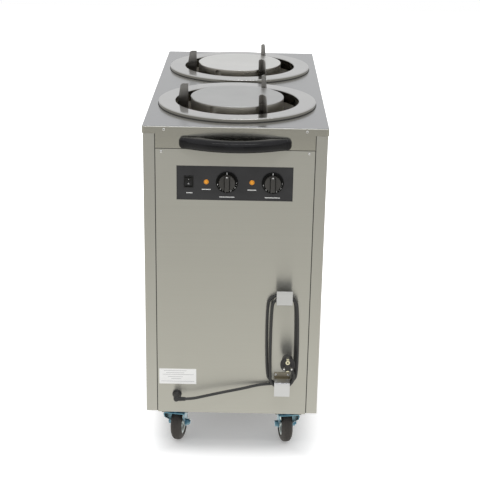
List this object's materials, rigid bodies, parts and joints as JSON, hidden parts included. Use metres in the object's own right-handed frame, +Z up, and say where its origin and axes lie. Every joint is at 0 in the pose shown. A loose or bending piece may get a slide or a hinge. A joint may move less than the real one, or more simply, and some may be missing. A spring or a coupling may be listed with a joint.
{
  "type": "heated plate dispenser cart",
  "caption": "Stainless plate dispenser cart with sprung plate wells in its top, a control plate, a bow handle, a wound mains cord and swivel casters.",
  "frame": {"origin": "centre of the bounding box's bottom, on the floor under the cart, without the cord and plug", "axes": "+X across the cart to the right as its control side is seen, +Y from the control side to the back, +Z up"},
  "size_m": [0.45, 0.9952, 0.948],
  "materials": {
    "brushed_stainless": "brushed",
    "polished_stainless": "fine satin",
    "black_plastic": "satin moulded",
    "printed_plate": "satin with white print",
    "amber_lens": "clear amber",
    "pale_plastic": "moulded",
    "cord_rubber": "satin",
    "nylon": "moulded",
    "heater_sheath": "dull",
    "bright_steel": "bright",
    "plain_steel": "dull",
    "zinc_plate": "blue zinc plate",
    "grey_tyre": "matt"
  },
  "bodies": {
    "cart": {"top_cover": "brushed_stainless", "side_panel_left": "brushed_stainless", "side_panel_right": "brushed_stainless", "front_panel": "brushed_stainless", "rear_panel": "brushed_stainless", "base_tray": "brushed_stainless", "front_handle": "black_plastic", "handle_screws": "bright_steel", "cover_rivets": "bright_steel", "panel_screws": "bright_steel", "well_ring_front": "polished_stainless", "well_ring_rear": "polished_stainless", "well_tube_front": "polished_stainless", "well_tube_rear": "polished_stainless", "plate_guides_front": "polished_stainless", "plate_guides_rear": "polished_stainless", "guide_screws": "bright_steel", "spring_hangers": "plain_steel", "heating_loops": "heater_sheath", "control_plate": "printed_plate", "switch_housing": "black_plastic", "signal_lamps": "amber_lens", "thermostats": "pale_plastic", "cord_hook_lower": "brushed_stainless", "cord_hook_upper": "brushed_stainless", "hook_screws": "bright_steel", "cable_gland": "black_plastic", "cord_lead": "cord_rubber", "cord_hank": "cord_rubber", "plug_body": "black_plastic", "plug_pins": "bright_steel", "caster_plates": "zinc_plate", "caster_bolts": "bright_steel"},
    "carrier_front": {"carrier_disc_front": "polished_stainless", "carrier_frame_front": "plain_steel", "carrier_slides_front": "nylon", "carrier_springs_front": "plain_steel"},
    "carrier_rear": {"carrier_disc_rear": "polished_stainless", "carrier_frame_rear": "plain_steel", "carrier_slides_rear": "nylon", "carrier_springs_rear": "plain_steel"},
    "power_rocker": {"power_rocker": "black_plastic"},
    "knob_left": {"knob_left": "black_plastic", "spindle_left": "bright_steel"},
    "knob_right": {"knob_right": "black_plastic", "spindle_right": "bright_steel"},
    "fork_front_left": {"caster_fork_front_left": "zinc_plate"},
    "wheel_front_left": {"wheel_rim_front_left": "zinc_plate", "tyre_front_left": "grey_tyre"},
    "pedal_front_left": {"brake_pedal_front_left": "zinc_plate"},
    "fork_front_right": {"caster_fork_front_right": "zinc_plate"},
    "wheel_front_right": {"wheel_rim_front_right": "zinc_plate", "tyre_front_right": "grey_tyre"},
    "pedal_front_right": {"brake_pedal_front_right": "zinc_plate"},
    "fork_rear_left": {"caster_fork_rear_left": "zinc_plate"},
    "wheel_rear_left": {"wheel_rim_rear_left": "zinc_plate", "tyre_rear_left": "grey_tyre"},
    "fork_rear_right": {"caster_fork_rear_right": "zinc_plate"},
    "wheel_rear_right": {"wheel_rim_rear_right": "zinc_plate", "tyre_rear_right": "grey_tyre"}
  },
  "joints": [
    {"name": "carrier_front_slide", "type": "slide", "parent": "cart", "child": "carrier_front", "axis": [0, 0, 1], "range_m": [-0.45, 0], "stiffness_N_per_m": 650, "springref_m": 0.1, "deforming": ["carrier_springs_front"]},
    {"name": "carrier_rear_slide", "type": "slide", "parent": "cart", "child": "carrier_rear", "axis": [0, 0, 1], "range_m": [-0.45, 0], "stiffness_N_per_m": 650, "springref_m": 0.1, "deforming": ["carrier_springs_rear"]},
    {"name": "power_rocker_tilt", "type": "hinge", "parent": "cart", "child": "power_rocker", "pos_m": [-0.1125, -0.43205, 0.7588], "axis": [1, 0, 0], "range_deg": [0, 20]},
    {"name": "knob_left_turn", "type": "hinge", "parent": "cart", "child": "knob_left", "pos_m": [-0.019, -0.43345, 0.7588], "axis": [0, 1, 0], "range_deg": [0, 285]},
    {"name": "knob_right_turn", "type": "hinge", "parent": "cart", "child": "knob_right", "pos_m": [0.0926, -0.43345, 0.7588], "axis": [0, 1, 0], "range_deg": [0, 285]},
    {"name": "swivel_front_left", "type": "hinge", "parent": "cart", "child": "fork_front_left", "pos_m": [-0.149, -0.38465, 0.108], "axis": [0, 0, 1], "continuous": true},
    {"name": "spin_front_left", "type": "hinge", "parent": "fork_front_left", "child": "wheel_front_left", "pos_m": [-0.14337, -0.34909, 0.05], "axis": [0.9877, -0.1564, 0], "continuous": true},
    {"name": "pedal_front_left_press", "type": "hinge", "parent": "fork_front_left", "child": "pedal_front_left", "pos_m": [-0.14587, -0.3649, 0.094], "axis": [-0.9877, 0.1564, 0], "range_deg": [0, 8]},
    {"name": "swivel_front_right", "type": "hinge", "parent": "cart", "child": "fork_front_right", "pos_m": [0.149, -0.38465, 0.108], "axis": [0, 0, 1], "continuous": true},
    {"name": "spin_front_right", "type": "hinge", "parent": "fork_front_right", "child": "wheel_front_right", "pos_m": [0.14399, -0.349, 0.05], "axis": [0.9903, 0.1392, 0], "continuous": true},
    {"name": "pedal_front_right_press", "type": "hinge", "parent": "fork_front_right", "child": "pedal_front_right", "pos_m": [0.14622, -0.36484, 0.094], "axis": [-0.9903, -0.1392, 0], "range_deg": [0, 8]},
    {"name": "swivel_rear_left", "type": "hinge", "parent": "cart", "child": "fork_rear_left", "pos_m": [-0.149, 0.43135, 0.108], "axis": [0, 0, 1], "continuous": true},
    {"name": "spin_rear_left", "type": "hinge", "parent": "fork_rear_left", "child": "wheel_rear_left", "pos_m": [-0.149, 0.39535, 0.05], "axis": [-1, 0, 0], "continuous": true},
    {"name": "swivel_rear_right", "type": "hinge", "parent": "cart", "child": "fork_rear_right", "pos_m": [0.149, 0.43135, 0.108], "axis": [0, 0, 1], "continuous": true},
    {"name": "spin_rear_right", "type": "hinge", "parent": "fork_rear_right", "child": "wheel_rear_right", "pos_m": [0.149, 0.39535, 0.05], "axis": [-1, 0, 0], "continuous": true}
  ]
}
